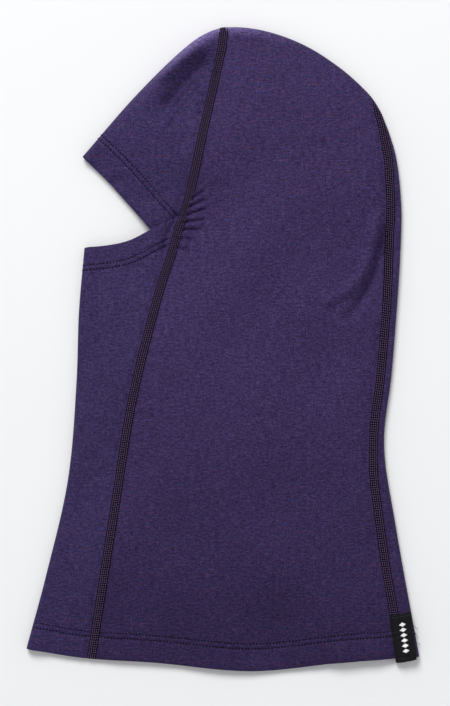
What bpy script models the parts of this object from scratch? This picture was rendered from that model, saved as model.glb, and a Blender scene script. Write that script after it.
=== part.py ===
"""A knitted balaclava laid flat in profile, sewn from four panels.

The frame: +X runs from the face to the back of the head, +Y from the neck hem to the crown,
and +Z up through the two layers of cloth. The cloth rests on z = 0. Lengths are in metres.
"""

import math

import bmesh
import bpy
import numpy as np

NAME = "balaclava"
MM = 0.001

# Cloth
CLOTH = 1.0 * MM  # thickness of the knit, and of each layer of a hem
SLIT = 0.3 * MM  # clear space between two pieces, or two layers, that touch
FOLD_RADIUS = 4.5 * MM  # middle of the cloth where it turns over at the profile's edge
LOFT = 8.0 * MM  # how far the upper layer swells above the height of its folds
LOFT_REACH = 25.0 * MM  # distance in from a fold over which most of that swelling happens
MIDDLE = CLOTH / 2 + FOLD_RADIUS  # height of the folds

# Hems: how far the cloth is turned in, and where the two needle rows lie from the edge
NECK_HEM = 18.0 * MM
CHIN_HEM = 15.0 * MM
BROW_HEM = 19.0 * MM
ROW_PITCH = 3.0 * MM

# Thread
BUTT = 0.5 * MM  # from the middle of a seam to each panel's edge
SEAM_WIDTH = 6.0 * MM  # flatlock, across the cover thread
NEEDLES = (-2.25 * MM, -0.75 * MM, 0.75 * MM, 2.25 * MM)
THREAD = 0.20 * MM  # radius of a needle thread
TAPE = 0.25 * MM  # thickness of a cover or looper thread's path
BAND_GAP = 0.28 * MM  # clear space under a thread where the cloth bends
CLEAR = 3.6 * MM  # turned-in cloth stops this far from a seam's middle
HOP = 1.1 * MM  # a hem's needle rows rise this much over the arch seam
STITCH_RISE = 1.9 * MM  # the lower layer rides up this much over stitching, off the floor
RISE_FLAT = 6.5 * MM
RISE_REACH = 13.0 * MM
TUCK = 4.0 * MM  # how far the brow panel's corner is tucked in behind the chin panel
TUCK_REACH = 18.0 * MM

LOOPER_WIDTH = 4.0 * MM
COVER_HEIGHT = CLOTH / 2 + BAND_GAP + TAPE / 2  # from the middle of the cloth
LOOPER_HEIGHT = COVER_HEIGHT + BAND_GAP
LOOPER_EASE = 0.5 * MM  # more clearance where the looper passes under the brow panel
NEEDLE_HEIGHT = CLOTH / 2 + BAND_GAP + TAPE + BAND_GAP + THREAD
ROW_HEIGHT = CLOTH / 2 + BAND_GAP + THREAD
ROW_INSET = 1.5 * MM  # from the turned-in cloth's raw edge to the first needle row
HEM_LOOPER_HEIGHT = 1.5 * CLOTH + SLIT + BAND_GAP + TAPE
BACK_SEAM_STOP = 9.0 * MM  # short of the crown, where the arch seam passes

# Label
LABEL_LENGTH = 28.0 * MM
LABEL_WIDTH = 12.6 * MM
LABEL_NEAR = (2.0 * MM, 0.8 * MM)  # its near edge's inset from the fold, below and above
LABEL_BACK = 8.0 * MM  # length of the leg inside the hem
LABEL_THICK = 0.4 * MM
LABEL_HEIGHT = 2.5 * MM  # over the middle of the cloth, clear of the seam under it
LABEL_DEPTH = 2.8 * MM  # the inner leg, under the middle of the cloth
LABEL_SEWN = 1.5 * MM  # from the tab's upper edge to its stitching

# Loose thread ends: up the back, out from the fold and over its middle, in millimetres
TAILS = (
    ((19.0, 1.2, 2.0), (17.5, 1.9, 1.0), (16.5, 1.6, -0.5), (17.5, 1.3, -2.0)),
    ((15.0, 1.2, 1.5), (13.0, 1.9, 0.2), (11.5, 1.5, -1.0), (10.5, 1.8, -2.4)),
    ((8.5, 1.2, 0.5), (7.0, 1.6, -0.5), (6.5, 1.3, -2.0), (7.5, 1.6, -3.2)),
)

# The profile's lines, each through the few points that its shape needs
CROWN_FOLD = (
    (-86.5, 119.7), (-54.0, 157.0), (-25.0, 185.5), (-11.5, 195.3), (0.9, 199.5),
    (25.0, 197.8), (57.0, 185.3), (91.5, 157.0), (105.7, 127.0), (110.7, 92.4),
    (110.3, 60.0), (105.0, -14.0), (100.2, -59.0), (107.6, -111.0), (122.0, -190.7),
)
CROWN_TOP = (0.9, 199.5)
CHIN_FOLD = (
    (-85.6, 62.4), (-89.0, 23.0), (-90.5, -20.0), (-95.8, -81.0), (-109.4, -140.7),
    (-121.5, -185.8),
)
NECK_EDGE = (
    (-121.5, -185.8), (-87.0, -191.6), (-45.0, -194.3), (20.0, -199.7), (74.0, -194.2),
    (122.0, -190.7),
)
CHIN_EDGE = ((-85.6, 62.4), (-65.4, 65.8), (-50.0, 70.8), (-26.4, 83.7))
BROW_EDGE = ((-86.5, 119.7), (-59.0, 90.0), (-31.3, 59.5))
ARCH_SEAM = (
    (-81.5, -191.9), (-67.0, -101.0), (-55.7, -31.6), (-38.4, 37.8), (-31.3, 59.5),
    (-26.4, 77.0), (-21.8, 90.0), (-10.2, 142.0), (-2.5, 176.7), (-0.2, 188.0), (0.9, 199.5),
)
# The back seam, by its distance up the back from the neck hem and its inset from the fold.
# Below zero it lies on the under side.
BACK_SEAM = (
    (0.0, 10.5), (50.0, 10.5), (85.0, 9.5), (110.0, 8.5), (135.0, 6.5), (160.0, 6.5),
    (220.0, 6.5), (265.0, 7.0), (300.0, 6.0), (325.0, 4.0), (345.0, 0.5), (370.0, -3.0),
    (400.0, -6.0), (420.0, -6.0), (445.0, -4.0), (470.0, -2.0),
)
BACK_CROSSING = (332.0, 341.0, 350.0, 359.0)  # where it turns over the fold

# How finely each piece is divided
ROW_STEP = 20.0 * MM
CROWN_TURNS = (90, 70, 50, 32)  # degrees round the fold where the seam climbs over the crown
FOLD_STEPS = 3
FOLD_ZONE = 10.0 * MM  # cloth next to a fold that is divided closely
BACK_ZONE = 20.0 * MM  # the same for the left panel's edge, which ends at the back seam
INNER_COLUMNS = 5

COLOURS = {
    "knit_light": ((0.046, 0.030, 0.088), 0.92),
    "knit_dark": ((0.038, 0.026, 0.074), 0.92),
    "thread": ((0.018, 0.010, 0.024), 0.6),
    "label": ((0.014, 0.012, 0.015), 0.7),
    "label_thread": ((0.030, 0.018, 0.045), 0.6),
}


class Line:
    """A smooth plan curve through a few points in millimetres, read by length in metres."""

    def __init__(self, points, steps=24):
        knots = np.array(points, float) * MM
        first = 2 * knots[0] - knots[1]
        last = 2 * knots[-1] - knots[-2]
        knots = np.vstack([first, knots, last])
        pieces = [self.span(knots[k:k + 4], steps) for k in range(len(knots) - 3)]
        self.points = np.vstack(pieces + [knots[-2:-1]])
        sizes = np.linalg.norm(np.diff(self.points, axis=0), axis=1)
        self.lengths = np.concatenate([[0.0], np.cumsum(sizes)])
        self.length = self.lengths[-1]

    @staticmethod
    def span(four, steps):
        """One Catmull-Rom span whose knots are spaced by the roots of the chords."""
        gaps = np.linalg.norm(np.diff(four, axis=0), axis=1) ** 0.5
        t = np.concatenate([[0.0], np.cumsum(gaps)])
        x = np.linspace(t[1], t[2], steps, endpoint=False)[:, None]
        a = [
            four[k] * (t[k + 1] - x) / gaps[k] + four[k + 1] * (x - t[k]) / gaps[k]
            for k in range(3)
        ]
        b = [
            a[k] * (t[k + 2] - x) / (t[k + 2] - t[k])
            + a[k + 1] * (x - t[k]) / (t[k + 2] - t[k])
            for k in range(2)
        ]
        return b[0] * (t[2] - x) / gaps[1] + b[1] * (x - t[1]) / gaps[1]

    def at(self, length):
        return np.stack(
            [np.interp(length, self.lengths, self.points[:, k]) for k in (0, 1)], -1
        )

    def tangent(self, length):
        step = 0.5 * MM
        ahead = self.at(np.minimum(length + step, self.length))
        behind = self.at(np.maximum(length - step, 0.0))
        way = ahead - behind
        return way / np.linalg.norm(way, axis=-1, keepdims=True)

    def length_at(self, point):
        away = np.linalg.norm(self.points - np.array(point) * MM, axis=1)
        return self.lengths[np.argmin(away)]

    def nearest(self, xy):
        """Distances to the line, and which side of it each point lies on, + on its right."""
        a = self.points[:-1]
        way = self.points[1:] - a
        sizes = np.linalg.norm(way, axis=1)
        way = way / sizes[:, None]
        offset = xy[:, None, :] - a
        along = np.clip((offset * way).sum(-1), 0.0, sizes)
        gap = offset - along[..., None] * way
        size = np.linalg.norm(gap, axis=-1)
        k = np.argmin(size, axis=1)
        i = np.arange(len(xy))
        right = np.stack([way[k, 1], -way[k, 0]], -1)
        return size[i, k], right, (gap[i, k] * right).sum(-1)


CROWN = Line(CROWN_FOLD)
CHIN = Line(CHIN_FOLD)
NECK = Line(NECK_EDGE)
CHIN_TOP = Line(CHIN_EDGE)
BROW_LOW = Line(BROW_EDGE)
ARCH = Line(ARCH_SEAM)
TOP_AT = CROWN.length_at(CROWN_TOP)
BACK_LENGTH = CROWN.length - TOP_AT
ARCH_CHIN = ARCH.length_at(CHIN_EDGE[-1])
ARCH_BROW = ARCH.length_at(BROW_EDGE[-1])


def smooth(x):
    x = np.clip(x, 0.0, 1.0)
    return x * x * (3 - 2 * x)


def unfold(inset):
    """Length of cloth from the fold's outermost line to a plan distance in from it."""
    turn = np.arccos(np.clip(1 - inset / FOLD_RADIUS, 0.0, 1.0))
    return turn * FOLD_RADIUS + np.maximum(inset - FOLD_RADIUS, 0.0)


def inset_of(length):
    """Plan distance in from the fold for a length of cloth from its outermost line."""
    quarter = math.pi / 2 * FOLD_RADIUS
    turn = np.minimum(np.abs(length), quarter) / FOLD_RADIUS
    return FOLD_RADIUS * (1 - np.cos(turn)) + np.maximum(np.abs(length) - quarter, 0.0)


def fold_distance(xy):
    """For plan points: distance in from the nearest fold, and the way out towards it."""
    crown, crown_right, crown_side = CROWN.nearest(xy)
    chin, chin_right, chin_side = CHIN.nearest(xy)
    near_crown = crown < chin
    inset = np.where(near_crown, np.where(crown_side > 0, crown, -crown), 0.0)
    inset = np.where(near_crown, inset, np.where(chin_side < 0, chin, -chin))
    out = np.where(near_crown[:, None], -crown_right, chin_right)
    return inset, out


def up_at(at):
    """How far up the back fold a row lies that meets the arch seam at a length."""
    return BACK_LENGTH * at / ARCH.length


def back_seam_inset(up):
    """The back seam's signed cloth length from the fold at a distance up the back."""
    table = np.array(BACK_SEAM) * MM
    size = np.interp(up, table[:, 0], table[:, 1])
    return np.sign(size) * unfold(np.abs(size))


def back_seam_length(at, reach):
    """The same on the row that meets the arch seam at a length."""
    return max(back_seam_inset(up_at(at)), -0.8 * reach)


def tuck_at(xy):
    """How far in the brow panel lies under plan points, behind the chin panel's edge."""
    distance, _, side = CHIN_TOP.nearest(xy)
    above = np.where(side < 0, distance, 0.0)
    return TUCK * smooth(1 - above / TUCK_REACH)


def stitched_lines():
    """Plan lines of the stitching that lies on the under side."""
    neck = Line([(x, y + NECK_HEM / MM - 4.5) for x, y in NECK_EDGE])
    chin = Line([(x, y - CHIN_HEM / MM + 3.5) for x, y in CHIN_EDGE])
    step = (BROW_HEM / MM - 4.5) / math.sqrt(2)
    brow = Line([(x + step, y + step) for x, y in BROW_EDGE])
    up = np.arange(345, 470, 12) * MM
    at = CROWN.length - up
    under = CROWN.at(at) + inward(at) * inset_of(back_seam_inset(up))[:, None]
    return [ARCH, neck, chin, brow, Line(under / MM)]


def inward(at):
    """The plan direction in from the crown fold."""
    way = CROWN.tangent(at)
    return np.stack([way[..., 1], -way[..., 0]], -1)


STITCHED = stitched_lines()


def lay(xy, side):
    """The middle of the cloth, and its outward normals, over plan points.

    side is +1 on the upper layer and -1 on the lower, one for each point.
    """
    inset, out = fold_distance(xy)
    xy = xy + out * np.minimum(inset, 0.0)[:, None]
    inset = np.maximum(inset, 0.0)
    turn = np.arccos(np.clip(1 - inset / FOLD_RADIUS, 0.0, 1.0))
    loft = LOFT * (1 - np.exp(-inset / LOFT_REACH))
    near = np.min([line.nearest(xy)[0] for line in STITCHED], axis=0)
    rise = STITCH_RISE * smooth((RISE_REACH - near) / (RISE_REACH - RISE_FLAT))
    level = np.where(side > 0, loft, rise * np.sin(turn))
    height = MIDDLE + side * FOLD_RADIUS * np.sin(turn) + level
    points = np.column_stack([xy, height])
    normals = np.column_stack([out * np.cos(turn)[:, None], side * np.sin(turn)])
    return points, normals


def arch_lengths():
    """Where the rows of every panel meet the arch seam, from the neck hem to the crown."""
    turns = np.radians(CROWN_TURNS)
    near_top = ARCH.length - FOLD_RADIUS * (1 - np.cos(turns))
    stops = [0.0, 0.5 * NECK_HEM, NECK_HEM, ARCH_BROW, ARCH_BROW + 0.5 * BROW_HEM]
    stops += [ARCH_CHIN - CHIN_HEM, ARCH_CHIN - 0.5 * CHIN_HEM, ARCH_CHIN]
    stops += [ARCH_CHIN + 0.5 * TUCK_REACH, near_top[0] - 8 * MM]
    stops += [up * MM * ARCH.length / BACK_LENGTH for up in BACK_CROSSING]
    lengths = []
    for a, b in zip(sorted(stops)[:-1], sorted(stops)[1:]):
        count = max(1, round((b - a) / ROW_STEP))
        lengths += list(np.linspace(a, b, count, endpoint=False))
    return np.array(lengths + [sorted(stops)[-1]] + list(near_top))


def bowed(start, end, bow, share):
    """Plan points at shares of a row from start to end, bowed off the chord."""
    return start + (end - start) * share[:, None] + bow(share)


def bow_of(line, begin, stop):
    """How a line's stretch, read begin to stop, bows off its own chord."""
    first, last = line.at(begin), line.at(stop)

    def bow(share):
        along = line.at(begin + (stop - begin) * share)
        return along - first - (last - first) * share[:, None]

    return bow


def zone_of(reach, depth=FOLD_ZONE):
    """How far in from the fold its closely divided cloth goes, and the seam's own column."""
    zone = min(depth, 0.45 * reach)
    return zone, min(CLEAR, 0.2 * (reach - zone))


def half_row(reach, end):
    """Signed cloth lengths along a row, from the arch seam, at reach, to the back seam."""
    zone, side = zone_of(reach, BACK_ZONE)
    inner = np.linspace(reach - side, zone, INNER_COLUMNS)
    outer = np.linspace(zone, end + BUTT, 10)[1:]
    return np.concatenate([[reach], inner, outer])


def folded_row(reach):
    """Signed cloth lengths along a row that folds over and comes back to the seam below."""
    zone, side = zone_of(reach)
    inner = np.linspace(reach - side, zone, INNER_COLUMNS)
    upper = np.concatenate([[reach], inner])
    middle = np.linspace(zone, -zone, 2 * FOLD_STEPS + 1)[1:-1]
    return np.concatenate([upper, middle, -upper[::-1]])


def under_row(reach, begin):
    """Signed cloth lengths from the back seam round the fold to the arch seam below."""
    zone, side = zone_of(reach)
    low = min(begin - BUTT - 0.3 * zone, -zone)
    first = np.linspace(begin - BUTT, low, 2 * FOLD_STEPS + 3)
    rest = np.linspace(low, -reach + side, INNER_COLUMNS)[1:]
    return np.concatenate([first, rest, [-reach]])


def row(fold_point, seam_point, slant, lengths, bow):
    """Cloth points and normals along a row, for signed cloth lengths from the fold."""
    width = np.linalg.norm(seam_point - fold_point)
    share = np.clip(inset_of(lengths) / slant / width, 0.0, 1.0)
    xy = bowed(fold_point, seam_point, bow, share)
    return lay(xy, np.where(lengths >= 0, 1.0, -1.0))


def slant_of(fold_point, seam_point, fold_way):
    """Sine of the angle between a row and the fold it starts from."""
    way = (seam_point - fold_point) / np.linalg.norm(seam_point - fold_point)
    return abs(way[0] * fold_way[1] - way[1] * fold_way[0])


def side_row(at, ends):
    """A row behind the arch seam, from the seam to the fold and beyond it."""
    up = up_at(at)
    fade = 1 - smooth(np.array(2 * at / ARCH.length))
    return row_at(at, CROWN, CROWN.length - up, lambda share: NECK_BACK(share) * fade, ends, 1)


def left_row(at):
    """A row of the left side panel, from the arch seam to the back seam."""
    return side_row(at, lambda reach: half_row(reach, back_seam_length(at, reach)))


def right_row(at):
    """A row of the right side panel, from the back seam to the arch seam below."""
    return side_row(at, lambda reach: under_row(reach, back_seam_length(at, reach)))


def chin_row(at):
    """A row of the chin panel, from the arch seam above to the arch seam below."""
    rise = at / ARCH_CHIN

    def bow(share):
        return (1 - rise) * NECK_FRONT(share) + rise * CHIN_BOW(share)

    return row_at(at, CHIN, CHIN.length * (1 - rise), bow, folded_row, -1)


def brow_row(at):
    """A row of the brow panel, tucked in behind the chin panel at its lower corner."""
    place = TOP_AT * (at - ARCH_BROW) / (ARCH.length - ARCH_BROW)
    points, normals = row_at(at, CROWN, place, no_bow, folded_row, -1)
    return points - normals * tuck_at(points[:, :2])[:, None], normals


def row_at(at, fold, place, bow, ends, away):
    """Cloth points and normals along the row that meets the arch seam at a length.

    away is +1 for the panels behind the seam and -1 for those in front of it.
    """
    way = ARCH.tangent(at)
    seam = ARCH.at(at) + away * BUTT * np.array([way[1], -way[0]])
    corner = fold.at(place)
    slant = slant_of(corner, seam, fold.tangent(place))
    reach = unfold(np.linalg.norm(seam - corner) * slant)
    return row(corner, seam, slant, ends(reach), bow)


def between(one_row, at_list, at):
    """The line across a panel's faces at a length between two of its rows."""
    after = int(np.clip(np.searchsorted(at_list, at), 1, len(at_list) - 1))
    share = (at - at_list[after - 1]) / (at_list[after] - at_list[after - 1])
    low, low_out = one_row(at_list[after - 1])
    high, high_out = one_row(at_list[after])
    normals = low_out + (high_out - low_out) * share
    normals /= np.linalg.norm(normals, axis=1, keepdims=True)
    return low + (high - low) * share, normals


def rows_of(one_row, at_list):
    """A panel's rows, as arrays of points and normals."""
    made = [one_row(at) for at in at_list]
    return np.array([p for p, _ in made]), np.array([n for _, n in made])


def hem(points, normals, depth_rows, first):
    """Adds the turned-in cloth of a hem beyond a panel's first or last row."""
    if not first:
        points, normals = points[::-1], normals[::-1]
    out = points[0] - points[1]
    out -= normals[0] * (out * normals[0]).sum(-1, keepdims=True)
    out /= np.linalg.norm(out, axis=-1, keepdims=True)
    radius = (CLOTH + SLIT) / 2
    turned = points[:depth_rows + 1] - normals[:depth_rows + 1] * 2 * radius
    bend = []
    for angle in np.radians((135, 90, 45)):
        bend.append(
            points[0] + out * radius * math.sin(angle)
            - normals[0] * radius * (1 - math.cos(angle))
        )
    whole = np.concatenate([turned[::-1], np.array(bend), points])
    return whole if first else whole[::-1]


def sheet(name, points, thick, colour, skip=()):
    """A piece of cloth or tape: a grid laid over the points, thickened both ways."""
    rows, columns = points.shape[:2]
    work = bmesh.new()
    bmesh.ops.create_grid(work, x_segments=columns - 1, y_segments=rows - 1, size=1.0)
    for vertex in work.verts:
        i = round((vertex.co.y + 1) / 2 * (rows - 1))
        j = round((vertex.co.x + 1) / 2 * (columns - 1))
        vertex.co = points[i, j]
        vertex.index = i * columns + j
    cut = [f for f in work.faces if min(v.index for v in f.verts) in skip]
    bmesh.ops.delete(work, geom=cut, context="FACES")
    mesh = bpy.data.meshes.new(name)
    work.to_mesh(mesh)
    work.free()
    mesh.shade_smooth()
    piece = add(name, mesh, colour)
    shell = piece.modifiers.new("cloth", "SOLIDIFY")
    shell.thickness = thick
    shell.offset = 0.0
    return piece


def thread(name, points, radius, colour):
    """A thread laid through its points."""
    curve = bpy.data.curves.new(name, "CURVE")
    curve.dimensions = "3D"
    curve.bevel_depth = radius
    curve.bevel_resolution = 0
    curve.use_fill_caps = True
    spline = curve.splines.new("POLY")
    spline.points.add(len(points) - 1)
    for point, co in zip(spline.points, points):
        point.co = (*co, 1.0)
    return add(name, curve, colour)


def material(name):
    colour, roughness = COLOURS[name]
    made = bpy.data.materials.get(name) or bpy.data.materials.new(name)
    made.use_nodes = True
    shader = made.node_tree.nodes["Principled BSDF"]
    shader.inputs["Base Color"].default_value = (*colour, 1.0)
    shader.inputs["Roughness"].default_value = roughness
    shader.inputs["Metallic"].default_value = 0.0
    made.diffuse_color = (*colour, 1.0)
    return made


def add(name, data, colour):
    piece = bpy.data.objects.new(name, data)
    data.materials.append(material(colour))
    bpy.data.collections[NAME].objects.link(piece)
    piece.parent = bpy.data.objects[NAME + "_frame"]
    return piece


def no_bow(share):
    return np.zeros((len(share), 2))


NECK_BACK = bow_of(NECK, NECK.length, NECK.length_at(ARCH_SEAM[0]))
NECK_FRONT = bow_of(NECK, 0.0, NECK.length_at(ARCH_SEAM[0]))
CHIN_BOW = bow_of(CHIN_TOP, 0.0, CHIN_TOP.length)


def hem_skip(points, turned_rows, at_end=False):
    """Cells of a hem's turned-in cloth that stay clear of the seams at its two ends."""
    rows, columns = points.shape[:2]
    span = range(rows - 1 - turned_rows, rows - 1) if at_end else range(turned_rows)
    return {i * columns + j for i in span for j in (0, columns - 2)}


def side_panels(at_list):
    """The two side panels, which meet at the back seam."""
    hem_rows = int(np.searchsorted(at_list, NECK_HEM))
    for name, one_row, colour in (
        ("left_side_panel", left_row, "knit_light"),
        ("right_side_panel", right_row, "knit_dark"),
    ):
        whole = hem(*rows_of(one_row, at_list), hem_rows, True)
        sheet(name, whole, CLOTH, colour, hem_skip(whole, hem_rows + 3))


def chin_panel(at_list):
    """The chin and neck panel, folded at the centre front."""
    at_list = at_list[at_list <= ARCH_CHIN + 1e-9]
    points, normals = rows_of(chin_row, at_list)
    low_rows = int(np.searchsorted(at_list, NECK_HEM))
    top_rows = len(at_list) - 1 - int(np.searchsorted(at_list, ARCH_CHIN - CHIN_HEM))
    whole = hem(points, normals, low_rows, True)
    fringe = np.concatenate([normals[:1]] * (low_rows + 4) + [normals])
    whole = hem(whole, fringe, top_rows, False)
    skip = hem_skip(whole, low_rows + 3) | hem_skip(whole, top_rows + 3, at_end=True)
    sheet("chin_panel", whole, CLOTH, "knit_light", skip)


def brow_panel(at_list):
    """The forehead panel, folded at the centre front."""
    at_list = at_list[at_list >= ARCH_BROW - 1e-9]
    hem_rows = int(np.searchsorted(at_list, ARCH_BROW + BROW_HEM))
    whole = hem(*rows_of(brow_row, at_list), hem_rows, True)
    sheet("brow_panel", whole, CLOTH, "knit_light", hem_skip(whole, hem_rows + 3))


def arch_line(at_list, across):
    """Cloth points and normals along the arch seam, a distance across to its back side."""
    low = at_list[:-len(CROWN_TURNS)]
    way = ARCH.tangent(low)
    xy = ARCH.at(low) + across * np.stack([way[:, 1], -way[:, 0]], -1)
    above, above_out = lay(xy, np.ones(len(low)))
    below, below_out = lay(xy, -np.ones(len(low)))
    turns = np.radians(CROWN_TURNS + (12, -12) + tuple(-t for t in CROWN_TURNS[::-1]))
    place = TOP_AT + across
    way_in = inward(np.array(place))
    edge = CROWN.at(place)
    insets = FOLD_RADIUS * (1 - np.cos(turns))
    over, over_out = lay(edge + way_in * insets[:, None], np.sign(turns))
    points = np.concatenate([above, over, below[::-1]])
    return points, np.concatenate([above_out, over_out, below_out[::-1]])


def looper_depth(at_list):
    """How far in the arch seam's looper thread lies, so that it passes under the brow panel."""
    way = ARCH.tangent(at_list)
    front = ARCH.at(at_list) - SEAM_WIDTH / 2 * np.stack([way[:, 1], -way[:, 0]], -1)
    deep = np.maximum(tuck_at(ARCH.at(at_list)), tuck_at(front))
    deep += np.where(deep > 0, LOOPER_EASE, 0.0)
    return deep * smooth((at_list - ARCH_BROW + CHIN_HEM) / (0.8 * CHIN_HEM))


def arch_seam(at_list):
    """The flatlock seam from hem to hem over the crown: tapes of thread and four needle rows."""
    halves = (-SEAM_WIDTH / 2, 0.0, SEAM_WIDTH / 2)
    lines = [arch_line(at_list, across) for across in halves]
    cover = [p + n * COVER_HEIGHT for p, n in lines]
    sheet("arch_seam_cover_thread", np.stack(cover, 1), TAPE, "thread")
    deep = looper_depth(at_list)
    crossing = np.zeros(2 + 2 * len(CROWN_TURNS))
    deep = np.concatenate([deep[:-len(CROWN_TURNS)], crossing, deep[:-len(CROWN_TURNS)][::-1]])
    under = []
    for across in (-LOOPER_WIDTH / 2, 0.0, LOOPER_WIDTH / 2):
        points, normals = arch_line(at_list, across)
        under.append(points - normals * (LOOPER_HEIGHT + deep)[:, None])
    sheet("arch_seam_looper_thread", np.stack(under, 1), TAPE, "thread")
    for number, across in enumerate(NEEDLES, 1):
        points, normals = arch_line(at_list, across)
        path = points + normals * NEEDLE_HEIGHT
        thread(f"arch_seam_needle_thread_{number}", path, THREAD, "thread")


def back_line(at_list, across):
    """Cloth points and normals along the back seam, a distance across towards the face."""
    def one(at):
        points, normals = side_row(
            at, lambda reach: np.array([back_seam_length(at, reach) + across])
        )
        return points[0], normals[0]

    made = [one(at) for at in at_list]
    return np.array([p for p, _ in made]), np.array([n for _, n in made])


def back_seam(at_list):
    """The flatlock seam up the back of the head."""
    at_list = at_list[at_list > NECK_HEM - 1e-9]
    at_list = at_list[up_at(at_list) < BACK_LENGTH - BACK_SEAM_STOP]
    across = (-SEAM_WIDTH / 2, *NEEDLES, SEAM_WIDTH / 2)
    lines = [back_line(at_list, place) for place in across]
    cover = [p + n * COVER_HEIGHT for p, n in lines]
    sheet("back_seam_cover_thread", np.stack(cover, 1), TAPE, "thread")
    across = (-LOOPER_WIDTH / 2, *NEEDLES[1:3], LOOPER_WIDTH / 2)
    lines = [back_line(at_list, place) for place in across]
    under = [p - n * LOOPER_HEIGHT for p, n in lines]
    sheet("back_seam_looper_thread", np.stack(under, 1), TAPE, "thread")
    for number, place in enumerate(NEEDLES, 1):
        points, normals = back_line(at_list, place)
        path = points + normals * NEEDLE_HEIGHT
        thread(f"back_seam_needle_thread_{number}", path, THREAD, "thread")


def neck_loop(at_list, at):
    """The closed line round the neck hem at a distance up from its edge."""
    front, front_out = between(chin_row, at_list, at)
    under, under_out = between(right_row, at_list, at)
    over, over_out = between(left_row, at_list, at)
    points = np.concatenate([front, under[::-1], over[::-1]])
    normals = np.concatenate([front_out, under_out[::-1], over_out[::-1]])
    hop = np.zeros(len(points))
    count = len(front)
    hop[[0, 1, -1, -2, count - 2, count - 1, count, count + 1]] = HOP
    return points, normals, hop


def hem_rows(name, lines, closed=False):
    """A coverstitched hem: two needle rows outside and the looper thread inside."""
    for number, (points, normals, hop) in enumerate(lines, 1):
        path = points + normals * (ROW_HEIGHT + hop)[:, None]
        row_thread = thread(f"{name}_hem_needle_thread_{number}", path, THREAD, "thread")
        row_thread.data.splines[0].use_cyclic_u = closed
    inner = [points - normals * HEM_LOOPER_HEIGHT for points, normals, _ in lines]
    sheet(f"{name}_hem_looper_thread", np.stack(inner, 1), TAPE, "thread")


def open_line(one_row, at_list, at, lift=0.0):
    """A hem's stitching line across a folded panel, clear of the seams at its ends."""
    points, normals = between(one_row, at_list, at)
    return points[1:-1], normals[1:-1], np.full(len(points) - 2, lift)


def hems(at_list):
    """The stitching of the three hems."""
    neck = (NECK_HEM - ROW_INSET, NECK_HEM - ROW_INSET - ROW_PITCH)
    hem_rows("neck", [neck_loop(at_list, up) for up in neck], closed=True)
    chin = (CHIN_HEM - ROW_INSET, CHIN_HEM - ROW_INSET - ROW_PITCH)
    hem_rows("chin", [open_line(chin_row, at_list, ARCH_CHIN - down) for down in chin])
    brow = (BROW_HEM - ROW_INSET, BROW_HEM - ROW_INSET - ROW_PITCH)
    hem_rows("brow", [open_line(brow_row, at_list, ARCH_BROW + up, BAND_GAP) for up in brow])


def by_the_label(ups, insets, height):
    """Points over the cloth at heights up the back and insets from its fold."""
    at = CROWN.length - ups
    xy = CROWN.at(at) + inward(at) * insets[:, None]
    points, normals = lay(xy, np.ones(len(ups)))
    return points + normals * height, normals


def label():
    """The woven tab, wrapped round the neck hem over the end of the back seam."""
    shares = np.linspace(0.0, 1.0, 6)

    def across(up, height):
        near = LABEL_NEAR[0] + (LABEL_NEAR[1] - LABEL_NEAR[0]) * up / LABEL_LENGTH
        insets = near + LABEL_WIDTH * shares
        return by_the_label(np.full(6, up), insets, height)

    outer = [across(up, LABEL_HEIGHT)[0] for up in np.linspace(LABEL_LENGTH, 0.0, 5)]
    inner = [across(up, -LABEL_DEPTH)[0] for up in np.linspace(0.0, LABEL_BACK, 3)]
    radius = (LABEL_HEIGHT + LABEL_DEPTH) / 2
    middle, normals = across(0.0, LABEL_HEIGHT - radius)
    down = np.array([*-CROWN.tangent(CROWN.length), 0.0]) * -1
    bend = [
        middle + radius * (math.cos(turn) * normals + math.sin(turn) * down)
        for turn in np.radians((30, 60, 90, 120, 150))
    ]
    sheet("hem_label", np.array(outer + bend + inner), LABEL_THICK, "label")
    edge = LABEL_NEAR[1] + np.linspace(0.1, 0.9, 5) * LABEL_WIDTH
    over = LABEL_HEIGHT + LABEL_THICK / 2 + SLIT + THREAD
    path, _ = by_the_label(np.full(5, LABEL_LENGTH - LABEL_SEWN), edge, over)
    thread("label_stitch", path, THREAD, "label_thread")


def thread_tails():
    """Three loose thread ends at the fold beside the label."""
    for number, tail in enumerate(TAILS, 1):
        table = np.array(tail) * MM
        at = CROWN.length - table[:, 0]
        out = -inward(at)
        xy = CROWN.at(at) + out * table[:, 1:2]
        path = np.column_stack([xy, MIDDLE + table[:, 2]])
        thread(f"thread_tail_{number}", path, THREAD, "label_thread")


def centre(frame):
    """Moves the frame so that the box round the whole object stands on the origin."""
    bpy.context.view_layer.update()
    graph = bpy.context.evaluated_depsgraph_get()
    corners = []
    for piece in frame.children:
        shown = piece.evaluated_get(graph)
        mesh = shown.to_mesh()
        corners += [shown.matrix_world @ v.co for v in mesh.vertices]
        shown.to_mesh_clear()
    corners = np.array(corners)
    low, high = corners.min(axis=0), corners.max(axis=0)
    frame.location = (-(low[0] + high[0]) / 2, -(low[1] + high[1]) / 2, -low[2])


def main():
    for thing in list(bpy.data.objects):
        bpy.data.objects.remove(thing)
    collection = bpy.data.collections.new(NAME)
    bpy.context.scene.collection.children.link(collection)
    frame = bpy.data.objects.new(NAME + "_frame", None)
    collection.objects.link(frame)
    at_list = arch_lengths()
    side_panels(at_list)
    chin_panel(at_list)
    brow_panel(at_list)
    arch_seam(at_list)
    back_seam(at_list)
    hems(at_list)
    label()
    thread_tails()
    centre(frame)


main()
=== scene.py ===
"""A knitted balaclava laid flat in profile: cloth, seams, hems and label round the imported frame.

The frame is the CAD model's: +X runs from the face to the back of the head, +Y from the neck
hem to the crown, +Z up. Lengths are in metres, and the lists of points in millimetres.
"""

import math

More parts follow.
